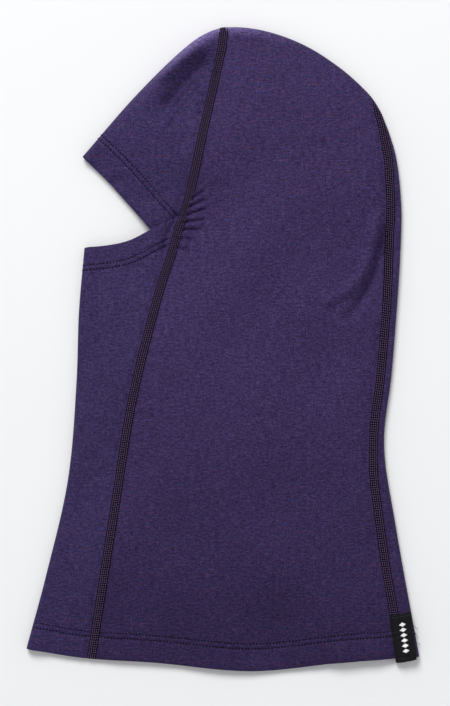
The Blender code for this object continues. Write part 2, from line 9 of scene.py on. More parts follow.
import bpy
import numpy as np
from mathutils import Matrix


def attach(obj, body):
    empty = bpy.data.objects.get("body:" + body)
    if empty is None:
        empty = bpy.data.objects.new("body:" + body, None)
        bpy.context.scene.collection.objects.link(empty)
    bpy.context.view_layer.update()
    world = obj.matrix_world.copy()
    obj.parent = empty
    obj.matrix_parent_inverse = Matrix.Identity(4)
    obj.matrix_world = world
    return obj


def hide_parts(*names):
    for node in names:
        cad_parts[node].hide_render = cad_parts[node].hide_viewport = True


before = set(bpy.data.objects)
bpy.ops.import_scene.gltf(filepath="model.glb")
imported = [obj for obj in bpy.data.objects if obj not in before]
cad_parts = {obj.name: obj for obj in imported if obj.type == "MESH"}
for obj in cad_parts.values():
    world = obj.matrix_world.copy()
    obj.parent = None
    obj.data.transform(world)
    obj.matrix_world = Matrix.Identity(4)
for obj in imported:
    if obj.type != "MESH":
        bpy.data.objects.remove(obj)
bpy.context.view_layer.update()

MM = 0.001
TINY = 1e-9
SHIFT = np.array([-0.255, -0.255, 0.0]) * MM  # from the drawing of the lines below to the frame

# Cloth
CLOTH = 0.62 * MM
SLIT = 0.1 * MM  # between two layers that touch
FOLD_RADIUS = 2.6 * MM  # middle of the cloth where it turns over at the profile's edge
LOFT = 11.5 * MM  # how far the upper layer swells above its folds
LOFT_REACH = 42.0 * MM
SAG = 1.9 * MM  # the upper layer lies down by the open edges
SAG_INSET = 14.0 * MM
FLOOR_GAP = 0.15 * MM  # under the lowest cloth
MIDDLE = CLOTH / 2 + FOLD_RADIUS + FLOOR_GAP  # height of a fold's outermost line
BUTT = 0.15 * MM  # from the middle of a seam to each panel's edge

# The upper layer's relief
SWELL_HEIGHT = 0.7 * MM  # of the broad waves
RIPPLE_HEIGHT = 0.10 * MM  # of the small ones
GATHER_HEIGHT = 0.22 * MM  # beside a seam
HEM_GATHER = 0.12 * MM  # along a hem's rows
SEAM_SWELL = (0.4 * MM, 6.0 * MM)  # height and half width of the cloth's rise along a seam
SEAM_GROOVE = (0.8 * MM, 3.5 * MM, 1.6 * MM)  # depth, distance from the seam, half width
ROW_GROOVE = (0.5 * MM, 0.8 * MM)  # depth and half width, along a hem's needle row
HEM_SWELL = 0.5 * MM  # a hem's second layer lifts the cloth this much
FACE_SAG_REACH = 20.0 * MM
NECK_SAG_REACH = 34.0 * MM
CORNER_CLEAR = (14.0 * MM, 40.0 * MM)  # from the tucked corner, no sag to full sag
RELIEF_FADE = 5.0 * MM  # in from a fold, where the relief comes up to its full height
HEM_FADE = 4.0 * MM  # the same for a hem's own relief
LEAST_SLANT = 0.05  # sine between a row and the fold that it meets

# Hems
NECK_HEM = 18.0 * MM
CHIN_HEM = 15.0 * MM
BROW_HEM = 19.0 * MM
ROW_PITCH = 3.0 * MM
ROW_INSET = 1.5 * MM  # from the turned-in cloth's raw edge to the first needle row
HEM_PITCH = 2.05 * MM  # from stitch to stitch
HEM_UNEVEN = 0.08  # of the pitch
HEM_NEEDLE = (1.2 * MM, 0.36 * MM, 0.05 * MM)  # a stitch's length, radius and lift
HEM_LOOPER = (0.18 * MM, -1.5 * CLOTH - SLIT - 0.1 * MM)  # its radius and height
HEM_OVERRUN = 12.0  # a hem's line is drawn this far past its ends, in millimetres
HEM_STATIONS = 700  # places along a hem where its cloth is known
BEND_ANGLES = (150, 120, 90, 60, 30)  # the rows round a hem's edge, in degrees
TUCK = 1.5 * MM  # how far the brow panel's corner is tucked in behind the chin panel
TUCK_REACH = 9.0 * MM  # above that panel's edge

# Seams
SEAM_WIDTH = 5.4 * MM  # flatlock, across the cover thread
NEEDLES = (-1.86 * MM, -0.62 * MM, 0.62 * MM, 1.86 * MM)
SEAM_NEEDLE = (0.85 * MM, 0.24 * MM, 0.18 * MM)  # a stitch's length, radius and lift
SEAM_PITCH = 1.45 * MM  # from stitch to stitch
SEAM_UNEVEN = 0.10  # of the pitch
# A seam's packed thread: half width, step along, crown, height, thickness. The thread that
# crosses over it: pitch, radius, height
COVER_BAND = (SEAM_WIDTH / 2, 0.8 * MM, 0.12 * MM, CLOTH / 2 - 0.02 * MM, 0.2 * MM)
COVER_RUNGS = (SEAM_PITCH, 0.17 * MM, CLOTH / 2 + 0.14 * MM)
LOOPER_BAND = (2.0 * MM, 1.2 * MM, -0.15 * MM, -CLOTH / 2 - 0.1 * MM, 0.15 * MM)
LOOPER_RUNGS = (2 * SEAM_PITCH, 0.2 * MM, -CLOTH / 2 - 0.5 * MM)
BACK_SEAM_STOP = 6.0 * MM  # short of the crown, where the arch seam passes
STITCH_RISE = 0.9 * MM  # how far stitching holds the lower layer off the floor
RISE_FLAT = 5.0 * MM  # to each side of the stitching
RISE_REACH = 13.0 * MM
SEAM_STEP = 1.0 * MM  # between the points where a seam reads the cloth
HEM_STEP = 0.8 * MM  # and a hem

# The profile's lines, in millimetres
CROWN_FOLD = (
    (-86.5, 119.7), (-54, 157), (-25, 185.5), (-11.5, 195.3), (0.9, 199.5), (25, 197.8),
    (57, 185.3), (91.5, 157), (105.7, 127), (110.7, 92.4), (110.3, 60), (105, -14), (100.2, -59),
    (107.6, -111), (122, -190.7),
)
CROWN_TOP = (0.9, 199.5)
CHIN_FOLD = (
    (-85.6, 62.4), (-89, 23), (-90.5, -20), (-95.8, -81), (-109.4, -140.7), (-121.5, -185.8),
)
NECK_EDGE = (
    (-121.5, -185.8), (-87, -191.6), (-45, -194.3), (20, -199.7), (74, -194.2), (122, -190.7),
)
CHIN_EDGE = ((-85.6, 62.4), (-72, 63.9), (-59, 67), (-44.2, 74.8), (-26.4, 83.7))
BROW_EDGE = ((-86.5, 119.7), (-70.6, 104.3), (-59.6, 92.1), (-44.4, 74.9), (-31.3, 59.5))
ARCH_SEAM = (
    (-81.5, -191.9), (-67, -101), (-55.7, -31.6), (-38.4, 37.8), (-31.3, 59.5), (-26.4, 77),
    (-21.8, 90), (-10.2, 142), (-2.5, 176.7), (-0.2, 188), (0.9, 199.5),
)
# By distance up the back and inset from its fold; below zero it lies on the under side
BACK_SEAM = (
    (0, 10.5), (50, 10.5), (85, 9.5), (110, 8.5), (135, 6.5), (160, 6.5), (220, 6.5), (265, 7),
    (300, 6), (325, 4), (345, 0.5), (370, -3), (400, -6), (420, -6), (445, -4), (470, -2),
)
BACK_ABOVE = 338  # up the back, the end of its stretch on the upper layer
BACK_BELOW = (345, 470)  # its stretch on the under side
UNDER_SHARE = 0.8  # of a row's half width, the most that it goes in there

# Soft folds of the upper layer: the line of each in millimetres, its half width and height
FOLDS = (
    (((-42, 165), (-33, 174), (-21, 183.5), (-6, 192)), 4.2, 4.4),
    (((0, 181), (-11, 176), (-21.5, 165.8), (-32, 153.5), (-42, 138)), 6, -5.6),
    (((-2, 168), (-14, 157), (-26, 138)), 14, -1.3),
    (((-3, 171.5), (-7, 171.5), (-13, 171)), 2.4, -1.3),
    (((-8.5, 168.5), (-13.5, 166.5), (-22, 158.2), (-32.4, 144.3), (-40, 131.5)), 2.2, 2.5),
    (((5, 197), (14, 194.8), (26, 190.5)), 1.8, 1.2),
    (((97, 88), (93, 70), (87.5, 49), (77, 35), (66, 22)), 3.2, 3.3),
    (((103, 82), (99.5, 64), (94.5, 45), (85.5, 29), (75, 15)), 3, -3.6),
    (((105, 70), (101, 50), (93, 30), (84, 18)), 6, -2),
    (((74.5, 37), (61, 26)), 2.2, 1.5),
    (((77.5, 32.5), (65.5, 21.5)), 2, -1.4),
    (((-69, 103), (-61, 106)), 3, -1.8),
    (((-37.5, 57), (-33.5, 72), (-29, 81)), 2.3, -2.2),
    (((112, -127), (103, -124.5)), 1.8, -1.6),
    (((-21.5, 92), (-8.5, 99.5)), 1, -1.9),
    (((-22.8, 87.5), (-8, 93.5)), 1, -2.2),
    (((-23.9, 83), (-8, 87.5)), 1, -2.3),
    (((-25.2, 78.5), (-9.5, 80.5)), 1, -2.3),
    (((-26.6, 73.8), (-12, 74)), 1, -2.1),
    (((-28.2, 69), (-15.5, 67)), 1, -1.9),
    (((-30, 63.5), (-19, 59.5)), 1, -1.7),
    (((-8.5, 156.5), (-16, 157.5)), 1, -1.2),
    (((-10, 151), (-17.5, 151)), 1, -1.1),
    (((-11, 146), (-18.5, 144.5)), 1, -1),
    (((66, -200), (86, -193), (108, -192)), 12, 3),
)

# The crown's fold carries a painted highlight, a sheen painted into the cloth's colour, round this
# point, over this length and width of it
PAINTED_SHEEN_AT = (-12, 195)
PAINTED_SHEEN_LENGTH = 40.0 * MM
PAINTED_SHEEN_WIDTH = 3.8 * MM

# Label
LABEL_LENGTH = 28.0 * MM
LABEL_WIDTH = 12.6 * MM
LABEL_NEAR = (2.0 * MM, 0.8 * MM)  # its near edge's inset from the fold, below and above
LABEL_BACK = 8.0 * MM  # length of the leg inside the hem
LABEL_THICK = 0.4 * MM
LABEL_HEIGHT = 1.75 * MM  # over the middle of the cloth, clear of the seam under it
LABEL_DEPTH = 2.2 * MM  # the inner leg, under the middle of the cloth
LABEL_SEWN = 1.5 * MM  # from the tab's upper edge to its stitching
LABEL_NEEDLE = (1.0 * MM, 0.24 * MM, 0.0)  # a stitch's length, radius and lift
LABEL_PITCH = 1.3 * MM
LABEL_COLUMNS = 25
LABEL_ROWS = 57
LABEL_BACK_ROWS = 17
LABEL_EASE = 0.35  # its long edges lie lower by this share of its height
MARKS = 6  # woven diamonds
MARK_TOP = 6.6 * MM  # from the tab's upper edge to the first one's centre
MARK_PITCH = 3.3 * MM
MARK_HALF = 1.3 * MM  # half length of one, along the tab
MARK_SHARE = 0.17  # half width of one, as a share of the tab's
MARK_CENTRE = 0.45  # across the tab
MARK_THICK = 0.12 * MM
MARK_GRID = (5, 9)  # rows and columns of one

# Loose thread ends: up the back, out from the fold and over its middle, in millimetres
TAILS = (
    ((19.0, 0.2, 1.6), (17.5, 1.2, 1.0), (16.5, 1.9, -0.2), (17.3, 2.6, -1.2)),
    ((15.0, 0.2, 1.2), (13.0, 1.1, 0.2), (11.5, 1.4, -0.8), (10.5, 1.0, -1.8)),
    ((8.5, 0.2, 0.8), (7.0, 1.3, -0.3), (6.5, 1.9, -1.2), (7.5, 2.4, -2.0)),
)
TAIL_RADIUS = 0.13 * MM
TAIL_RINGS = 24

# How finely lines and cloth are divided
SPAN_STEPS = 16
ROW_STEP = 1.6 * MM
CROWN_STEP = 1.25 * MM  # over the folds of the crown
FINE_STEP = 0.75 * MM  # round the hems' stitching and the gathers between them
FINE_REACH = 7.0 * MM
CROWN_TURNS = (90, 75, 60, 46, 34)  # degrees round the fold where the seam goes over it
SIDE_COLUMNS = 90
UNDER_COLUMNS = 60
FRONT_COLUMNS = 36
FOLD_COLUMNS = 14
SEAM_COLUMNS = 5
FOLD_ZONE = 12.0 * MM  # cloth next to a fold that is divided closely
SEAM_ZONE = 5.0 * MM


def smooth(x):
    x = np.clip(x, 0.0, 1.0)
    return x * x * (3 - 2 * x)


def bell(x):
    return np.exp(-x * x)


def unit(ways):
    """The same ways at length one."""
    return ways / np.maximum(np.linalg.norm(ways, axis=-1, keepdims=True), 1e-12)


def right_of(way):
    """The plan direction to the right of a way."""
    return np.stack([way[..., 1], -way[..., 0]], -1)


def running(points):
    """Lengths along a path, from zero at its first point."""
    steps = np.linalg.norm(np.diff(points, axis=0), axis=1)
    return np.concatenate([[0.0], np.cumsum(steps)])


class Line:
    """A smooth plan curve through a few points in millimetres, read by length in metres."""

    def __init__(self, points):
        knots = np.array(points, float) * MM
        first = 2 * knots[0] - knots[1]
        last = 2 * knots[-1] - knots[-2]
        knots = np.vstack([first, knots, last])
        pieces = [self.span(knots[k:k + 4]) for k in range(len(knots) - 3)]
        self.points = np.vstack(pieces + [knots[-2:-1]])
        self.lengths = running(self.points)
        self.length = self.lengths[-1]

    @staticmethod
    def span(four):
        """One Catmull-Rom span whose knots are spaced by the roots of the chords."""
        gaps = np.linalg.norm(np.diff(four, axis=0), axis=1) ** 0.5
        t = np.concatenate([[0.0], np.cumsum(gaps)])
        x = np.linspace(t[1], t[2], SPAN_STEPS, endpoint=False)[:, None]

        def between(p, q, i, j):
            return (p * (t[j] - x) + q * (x - t[i])) / (t[j] - t[i])

        a = [between(four[k], four[k + 1], k, k + 1) for k in range(3)]
        b = [between(a[k], a[k + 1], k, k + 2) for k in range(2)]
        return between(*b, 1, 2)

    def at(self, length):
        return np.stack([np.interp(length, self.lengths, c) for c in self.points.T], -1)

    def tangent(self, length):
        step = 0.5 * MM
        ahead = self.at(np.minimum(length + step, self.length))
        behind = self.at(np.maximum(length - step, 0.0))
        return unit(ahead - behind)

    def length_at(self, point):
        away = np.linalg.norm(self.points - np.array(point) * MM, axis=1)
        return self.lengths[np.argmin(away)]

    def nearest(self, xy):
        """Distance to the line, the way to its right, signed offset and share along it."""
        parts = [self.nearest_few(part) for part in np.array_split(xy, len(xy) // 3000 + 1)]
        return [np.concatenate(column) for column in zip(*parts)]

    def nearest_few(self, xy):
        a = self.points[:-1]
        way = self.points[1:] - a
        sizes = np.linalg.norm(way, axis=1)
        way = way / sizes[:, None]
        x = xy[:, :1] - a[:, 0]
        y = xy[:, 1:2] - a[:, 1]
        along = np.clip(x * way[:, 0] + y * way[:, 1], 0.0, sizes)
        x -= along * way[:, 0]
        y -= along * way[:, 1]
        gap = x * x + y * y
        k = np.argmin(gap, axis=1)
        i = np.arange(len(xy))
        right = right_of(way[k])
        side = x[i, k] * right[:, 0] + y[i, k] * right[:, 1]
        share = (self.lengths[k] + along[i, k]) / self.length
        return np.sqrt(gap[i, k]), right, side, share


CROWN = Line(CROWN_FOLD)
CHIN = Line(CHIN_FOLD)
NECK = Line(NECK_EDGE)
CHIN_TOP = Line(CHIN_EDGE)
BROW_LOW = Line(BROW_EDGE)
ARCH = Line(ARCH_SEAM)
TOP_AT = CROWN.length_at(CROWN_TOP)
BACK_LENGTH = CROWN.length - TOP_AT
ARCH_CHIN = ARCH.length_at(CHIN_EDGE[-1])
ARCH_BROW = ARCH.length_at(BROW_EDGE[-1])
FOLD_LINES = [(Line(points), width * MM, height * MM) for points, width, height in FOLDS]


def unfold(inset):
    """Length of cloth from the fold's outermost line to a plan distance in from it."""
    turn = np.arccos(np.clip(1 - inset / FOLD_RADIUS, 0.0, 1.0))
    return turn * FOLD_RADIUS + np.maximum(inset - FOLD_RADIUS, 0.0)


def inset_of(length):
    """Plan distance in from the fold for a length of cloth from its outermost line."""
    quarter = math.pi / 2 * FOLD_RADIUS
    turn = np.minimum(np.abs(length), quarter) / FOLD_RADIUS
    return FOLD_RADIUS * (1 - np.cos(turn)) + np.maximum(np.abs(length) - quarter, 0.0)


def in_from_crown(at, inset):
    """Plan points a distance in from the crown fold, at lengths along it."""
    return CROWN.at(at) + right_of(CROWN.tangent(at)) * inset[:, None]


def fold_distance(xy):
    """For plan points: distance in from the nearest fold, and the way out towards it."""
    crown, crown_right, crown_side, _ = CROWN.nearest(xy)
    chin, chin_right, chin_side, _ = CHIN.nearest(xy)
    near_crown = crown < chin
    crown_inset = np.where(crown_side > 0, crown, -crown)
    inset = np.where(near_crown, crown_inset, np.where(chin_side < 0, chin, -chin))
    out = np.where(near_crown[:, None], -crown_right, chin_right)
    return inset, out


def up_at(at):
    """How far up the back fold a row lies that meets the arch seam at a length."""
    return BACK_LENGTH * at / ARCH.length


def back_seam_inset(up):
    """The back seam's signed cloth length from the fold at a distance up the back."""
    table = np.array(BACK_SEAM) * MM
    size = np.interp(up, table[:, 0], table[:, 1])
    return np.sign(size) * unfold(np.abs(size))


def tuck_at(xy):
    """How far in the brow panel lies under plan points, behind the chin panel's edge."""
    distance, _, side, _ = CHIN_TOP.nearest(xy)
    above = np.where(side < 0, distance, 0.0)
    return TUCK * np.clip(1 - above / TUCK_REACH, 0.0, 1.0) ** 2


def waves(seed, count, shortest, longest):
    """A smooth random surface of unit height, as a sum of plane waves."""
    pick = np.random.default_rng(seed)
    size = np.exp(pick.uniform(np.log(shortest), np.log(longest), count))
    turn = pick.uniform(0, 2 * np.pi, count)
    phase = pick.uniform(0, 2 * np.pi, count)
    k = 2 * np.pi / size * np.array([np.cos(turn), np.sin(turn)])
    return lambda xy: np.sqrt(2 / count) * np.sin(xy @ k + phase).sum(1)


def painted_sheen(xy):
    """How much painted highlight the cloth takes at plan points: a sheen along the crown's fold,
    most near its top.
    """
    around = np.linalg.norm(xy - np.array(PAINTED_SHEEN_AT) * MM, axis=1)
    return bell(around / PAINTED_SHEEN_LENGTH) * bell(CROWN.nearest(xy)[0] / PAINTED_SHEEN_WIDTH)


SWELL = waves(3, 24, 45 * MM, 120 * MM)
RIPPLE = waves(8, 40, 9 * MM, 22 * MM)
GATHER = waves(5, 40, 4 * MM, 9 * MM)


def hem_line(points, inset, side):
    """A line a distance in from an edge, on its right for +1."""
    edge = Line(points)
    at = np.linspace(0.0, edge.length, 2 * len(points) + 3)
    return Line((edge.at(at) + side * inset * right_of(edge.tangent(at))) / MM)


def back_seam_line(up):
    """The back seam's plan line through places up the back, in millimetres."""
    inset = inset_of(back_seam_inset(up * MM))
    return Line(in_from_crown(CROWN.length - up * MM, inset) / MM)


BACK_TOP = back_seam_line(np.linspace(0.0, BACK_ABOVE, 18))
BACK_UNDER = back_seam_line(np.arange(*BACK_BELOW, 12))
HEM_EDGES = (  # +1 where the cloth is to the right of the edge
    ("neck_hem", NECK_EDGE, NECK_HEM, -1),
    ("chin_hem", CHIN_EDGE, CHIN_HEM, 1),
    ("brow_hem", BROW_EDGE, BROW_HEM, -1),
)
HEMS = [
    (Line(edge), hem_line(edge, depth - ROW_INSET - ROW_PITCH / 2, side), depth)
    for _, edge, depth, side in HEM_EDGES
]
STITCHED = (ARCH, *(row for _, row, _ in HEMS), BACK_UNDER)  # on the under side
SETTLED = (  # the open edges, how much of the loft goes there, and how far in
    (NECK, 0.95, 46 * MM), (BROW_LOW, 0.8, 26 * MM), (CHIN_TOP, 0.6, 26 * MM)
)


def taper(share):
    """A fold's height along its line: it comes up over the first quarter and dies away."""
    return smooth(share / 0.25 + 0.15) * smooth((1 - share) / 0.35 + 0.1)


def relief(xy, inset):
    """Height of the upper layer's folds, puckers and stitched grooves."""
    high = SWELL_HEIGHT * SWELL(xy) + RIPPLE_HEIGHT * RIPPLE(xy)
    for line, width, size in FOLD_LINES:
        away, _, _, share = line.nearest(xy)
        high += size * bell(away / width) * taper(share)
    swell, reach = SEAM_SWELL
    depth, groove, width = SEAM_GROOVE
    for line in (ARCH, BACK_TOP):
        seam = line.nearest(xy)[0]
        beside = smooth((seam - SEAM_WIDTH / 2 - 0.1 * MM) / (2 * MM))
        high += bell(seam / reach) * (swell + GATHER_HEIGHT * GATHER(xy) * beside)
        high -= depth * bell((seam - groove) / width)
    return high * smooth(inset / RELIEF_FADE)


def hem_relief(xy, edge, row, depth):
    """A hem's second layer lifts the cloth; its two needle rows draw it down."""
    away = edge.nearest(xy)[0]
    high = HEM_SWELL * smooth((depth - away) / (2 * MM)) * smooth(away / (1.5 * MM))
    rows = row.nearest(xy)[0]
    groove, width = ROW_GROOVE
    high -= groove * bell((rows - ROW_PITCH / 2) / width)
    return high + bell(rows / (4 * MM)) * HEM_GATHER * GATHER(xy)


def settled(xy):
    """The share of the loft that is left near the three open edges, which lie flatter."""
    share = np.ones(len(xy))
    for line, drop, reach in SETTLED:
        share *= 1 - drop * bell(line.nearest(xy)[0] / reach)
    return share


def sag(xy, inset):
    """How far the upper layer lies down by the open edges, clear of the tucked corner."""
    neck = bell(NECK.nearest(xy)[0] / NECK_SAG_REACH)
    face = np.minimum(BROW_LOW.nearest(xy)[0], CHIN_TOP.nearest(xy)[0])
    corner = np.linalg.norm(xy - np.array(BROW_EDGE[-1]) * MM, axis=1)
    none, full = CORNER_CLEAR
    face = bell(face / FACE_SAG_REACH) * smooth((corner - none) / (full - none))
    return SAG * np.maximum(neck, face) * smooth(inset / SAG_INSET)


def lay(xy, side):
    """The middle of the cloth, and its outward normals, over plan points.

    side is +1 on the upper layer and -1 on the lower, one for each point.
    """
    inset, out = fold_distance(xy)
    xy = xy + out * np.minimum(inset, 0.0)[:, None]
    inset = np.maximum(inset, 0.0)
    turn = np.arccos(np.clip(1 - inset / FOLD_RADIUS, 0.0, 1.0))
    loft = LOFT * (1 - np.exp(-inset / LOFT_REACH)) * settled(xy)
    near = np.min([line.nearest(xy)[0] for line in STITCHED], axis=0)
    rise = STITCH_RISE * smooth((RISE_REACH - near) / (RISE_REACH - RISE_FLAT))
    upper = side > 0
    level = np.where(upper, loft - sag(xy, inset), rise * np.sin(turn))
    height = MIDDLE + side * FOLD_RADIUS * np.sin(turn) + level
    if upper.any():
        fade = smooth(inset[upper] / HEM_FADE)
        top = xy[upper]
        add = relief(top, inset[upper])
        for edge, row, depth in HEMS:
            add += hem_relief(top, edge, row, depth) * fade
        height[upper] += add
    points = np.column_stack([xy, height])
    normals = np.column_stack([out * np.cos(turn)[:, None], side * np.sin(turn)])
    return points, normals


def arch_lengths():
    """Where the rows of every panel meet the arch seam, from the neck hem to the crown."""
    near_top = ARCH.length - FOLD_RADIUS * (1 - np.cos(np.radians(CROWN_TURNS)))
    neck, brow, chin = NECK_HEM, ARCH_BROW + BROW_HEM, ARCH_CHIN - CHIN_HEM
    fine = [
        (neck - FINE_REACH, neck), (chin, chin + FINE_REACH), (ARCH_BROW, ARCH_CHIN),
        (brow - FINE_REACH, brow),
    ]
    stops = sorted({0.0, *sum(fine, ()), near_top[0] - 2 * MM})
    lengths = []
    for a, b in zip(stops[:-1], stops[1:]):
        close = any(low <= a and b <= high for low, high in fine)
        step = FINE_STEP if close else CROWN_STEP if a >= brow else ROW_STEP
        lengths += list(np.linspace(a, b, max(1, round((b - a) / step)), endpoint=False))
    return np.array(lengths + [stops[-1]] + list(near_top))


ROWS = arch_lengths()


def bow_of(line, begin, stop):
    """How a line's stretch, read begin to stop, bows off its own chord."""
    first, last = line.at(begin), line.at(stop)

    def bow(share):
        along = line.at(begin + (stop - begin) * share)
        return along - first - (last - first) * share[:, None]

    return bow


NECK_BACK = bow_of(NECK, NECK.length, NECK.length_at(ARCH_SEAM[0]))
NECK_FRONT = bow_of(NECK, 0.0, NECK.length_at(ARCH_SEAM[0]))
CHIN_BOW = bow_of(CHIN_TOP, 0.0, CHIN_TOP.length)
BROW_BOW = bow_of(BROW_LOW, 0.0, BROW_LOW.length)


def zones(reach):
    """How wide a row's closely divided stretches are, at the fold and at the seam."""
    fold = min(FOLD_ZONE, 0.45 * reach)
    return fold, min(SEAM_ZONE, 0.25 * (reach - fold))


def inner_columns(reach, count):
    """Signed cloth lengths from the seam, at reach, in to the fold's zone."""
    fold, seam = zones(reach)
    first = np.linspace(reach, reach - seam, SEAM_COLUMNS + 1)[:-1]
    return np.concatenate([first, np.linspace(reach - seam, fold, count)])


def upper_row(reach, end):
    """Signed lengths along a row of the left panel, from the arch seam to the back seam."""
    inner = inner_columns(reach, SIDE_COLUMNS)
    return np.concatenate([inner, np.linspace(inner[-1], end + BUTT, FOLD_COLUMNS)[1:]])


def folded_row(reach):
    """The same on a front panel, round the fold from seam to seam."""
    upper = inner_columns(reach, FRONT_COLUMNS)
    middle = np.linspace(upper[-1], -upper[-1], 2 * FOLD_COLUMNS + 1)[1:-1]
    return np.concatenate([upper, middle, -upper[::-1]])


def under_row(reach, begin):
    """The same on the right panel, from the back seam in along the under side."""
    fold, seam = zones(reach)
    low = min(begin - BUTT - 0.3 * fold, -fold)
    first = np.linspace(begin - BUTT, low, 2 * FOLD_COLUMNS)
    rest = np.linspace(low, -reach + seam, UNDER_COLUMNS)[1:]
    return np.concatenate([first, rest, np.linspace(-reach + seam, -reach, SEAM_COLUMNS)[1:]])


def row_at(at, fold, place, bow, ends, away):
    """Plan points, sides and cloth coordinates along the row that meets the seam at a length.

    away is +1 for the panels behind the arch seam and -1 for those in front of it.
    """
    seam = ARCH.at(at) + away * BUTT * right_of(ARCH.tangent(at))
    corner = fold.at(place)
    chord = seam - corner
    width = np.linalg.norm(chord)
    fold_way = fold.tangent(place)
    slant = max(abs(chord @ right_of(fold_way)) / width, LEAST_SLANT)
    reach = unfold(width * slant)
    lengths = ends(reach)
    share = np.clip(inset_of(lengths) / slant / width, 0.0, 1.0)
    bowed = bow(share)
    xy = corner + chord * share[:, None] + bowed
    cloth = corner + chord / width * (lengths / slant)[:, None] + bowed
    return xy, np.where(lengths >= 0, 1.0, -1.0), cloth


def side_row(at, one_side):
    """A row of a side panel, which its back seam cuts at the same length on both panels."""
    fade = 1 - smooth(np.array(2 * at / ARCH.length))

    def bow(share):
        return NECK_BACK(share) * fade

    def ends(reach):
        return one_side(reach, max(back_seam_inset(up_at(at)), -UNDER_SHARE * reach))

    return row_at(at, CROWN, CROWN.length - up_at(at), bow, ends, 1)


def chin_row(at):
    climb = at / ARCH_CHIN

    def bow(share):
        return (1 - climb) * NECK_FRONT(share) + climb * CHIN_BOW(share)

    return row_at(at, CHIN, CHIN.length * (1 - climb), bow, folded_row, -1)


def brow_row(at):
    climb = (at - ARCH_BROW) / (ARCH.length - ARCH_BROW)

    def bow(share):
        return (1 - climb) * BROW_BOW(share)

    return row_at(at, CROWN, TOP_AT * climb, bow, folded_row, -1)


def panel(one_row, at_list):
    """A panel's grid of points, normals and cloth coordinates."""
    rows = [one_row(at) for at in at_list]
    xy, side, cloth = (np.array(column) for column in zip(*rows))
    points, normals = (m.reshape(*side.shape, 3) for m in lay(xy.reshape(-1, 2), side.ravel()))
    return points, normals, cloth


def hem(points, normals, cloth, depth, end=1):
    """Adds the turned-in cloth of a hem beyond a panel's first row, or its last for -1."""
    points, normals, cloth = points[::end], normals[::end], cloth[::end]
    out = points[0] - points[1]
    out = unit(out - normals[0] * (out * normals[0]).sum(-1, keepdims=True))
    radius = (CLOTH + SLIT) / 2
    turned = points[:depth + 1] - normals[:depth + 1] * 2 * radius
    bend = np.array([
        points[0] + out * radius * math.sin(angle) - normals[0] * radius * (1 - math.cos(angle))
        for angle in np.radians(BEND_ANGLES)
    ])
    whole = np.concatenate([turned[::-1], bend, points])
    edge = np.repeat(cloth[:1], len(BEND_ANGLES), axis=0)
    flat = np.concatenate([(2 * cloth[0] - cloth[:depth + 1])[::-1], edge, cloth])
    return whole[::end], flat[::end]


# ---- meshes


def add_object(name, data):
    item = bpy.data.objects.new(name, data)
    bpy.context.scene.collection.objects.link(item)
    return item


def mesh_piece(name, points, faces, coordinates, material, nodes, slot):
    """One mesh from numbers, riding on the root body in place of its CAD nodes."""
    mesh = bpy.data.meshes.new(name)
    mesh.from_pydata((points + SHIFT).tolist(), [], faces)
    layer = mesh.uv_layers.new(name="cloth")
    corners = np.empty(len(mesh.loops), dtype=np.int32)
    mesh.loops.foreach_get("vertex_index", corners)
    layer.data.foreach_set("uv", (coordinates[corners] / MM).astype(np.float32).ravel())
    mesh.shade_smooth()
    mesh.materials.append(material)
    piece = add_object(name, mesh)
    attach(piece, "root")
    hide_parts(*nodes)
    return piece


def thicken(piece, thick):
    """Gives an open surface its thickness, half to each side."""
    shell = piece.modifiers.new("cloth", "SOLIDIFY")
    shell.thickness = thick
    shell.offset = 0.0
    return piece


def grid_faces(rows, columns, first=0):
    index = first + np.arange(rows * columns).reshape(rows, columns)
    parts = [index[:-1, :-1], index[:-1, 1:], index[1:, 1:], index[1:, :-1]]
    return np.stack(parts, -1).reshape(-1, 4).tolist()


def sheet(name, points, cloth, thick, material, nodes, slot):
    """A piece of cloth: a grid laid over the points and thickened both ways."""
    rows, columns = points.shape[:2]
    piece = mesh_piece(
        name, points.reshape(-1, 3), grid_faces(rows, columns), cloth.reshape(-1, 2),
        material, nodes, slot,
    )
    return thicken(piece, thick)


def tubes(paths, normals, radii, sides):
    """Tubes along many paths at once: points, faces and coordinates.

    paths and normals are tubes x rings x 3, radii is tubes x rings.
    """
    count, rings = paths.shape[:2]
    way = unit(np.gradient(paths, axis=1))
    across = unit(np.cross(way, normals))
    up = np.cross(across, way)
    angle = np.linspace(0, 2 * np.pi, sides, endpoint=False)
    round_way = (
        across[:, :, None] * np.cos(angle)[:, None] + up[:, :, None] * np.sin(angle)[:, None]
    )
    points = paths[:, :, None] + round_way * radii[:, :, None, None]
    index = np.arange(count * rings * sides).reshape(count, rings, sides)
    ahead = np.roll(index, -1, axis=2)
    faces = np.stack([index[:, :-1], ahead[:, :-1], ahead[:, 1:], index[:, 1:]], -1)
    length = np.cumsum(np.linalg.norm(np.diff(paths, axis=1, prepend=paths[:, :1]), axis=-1), 1)
    u = np.broadcast_to(length[:, :, None], index.shape)
    v = np.broadcast_to(angle / (2 * np.pi) * MM, index.shape)
    caps = np.concatenate([index[:, 0, ::-1], index[:, -1]])
    whole = faces.reshape(-1, 4).tolist() + caps.tolist()
    return points.reshape(-1, 3), whole, np.stack([u, v], -1).reshape(-1, 2)


def tube_piece(name, row, material, nodes, slot, sides):
    """One piece from a row of tubes: their paths, normals and radii."""
    return mesh_piece(name, *tubes(*row, sides), material, nodes, slot)


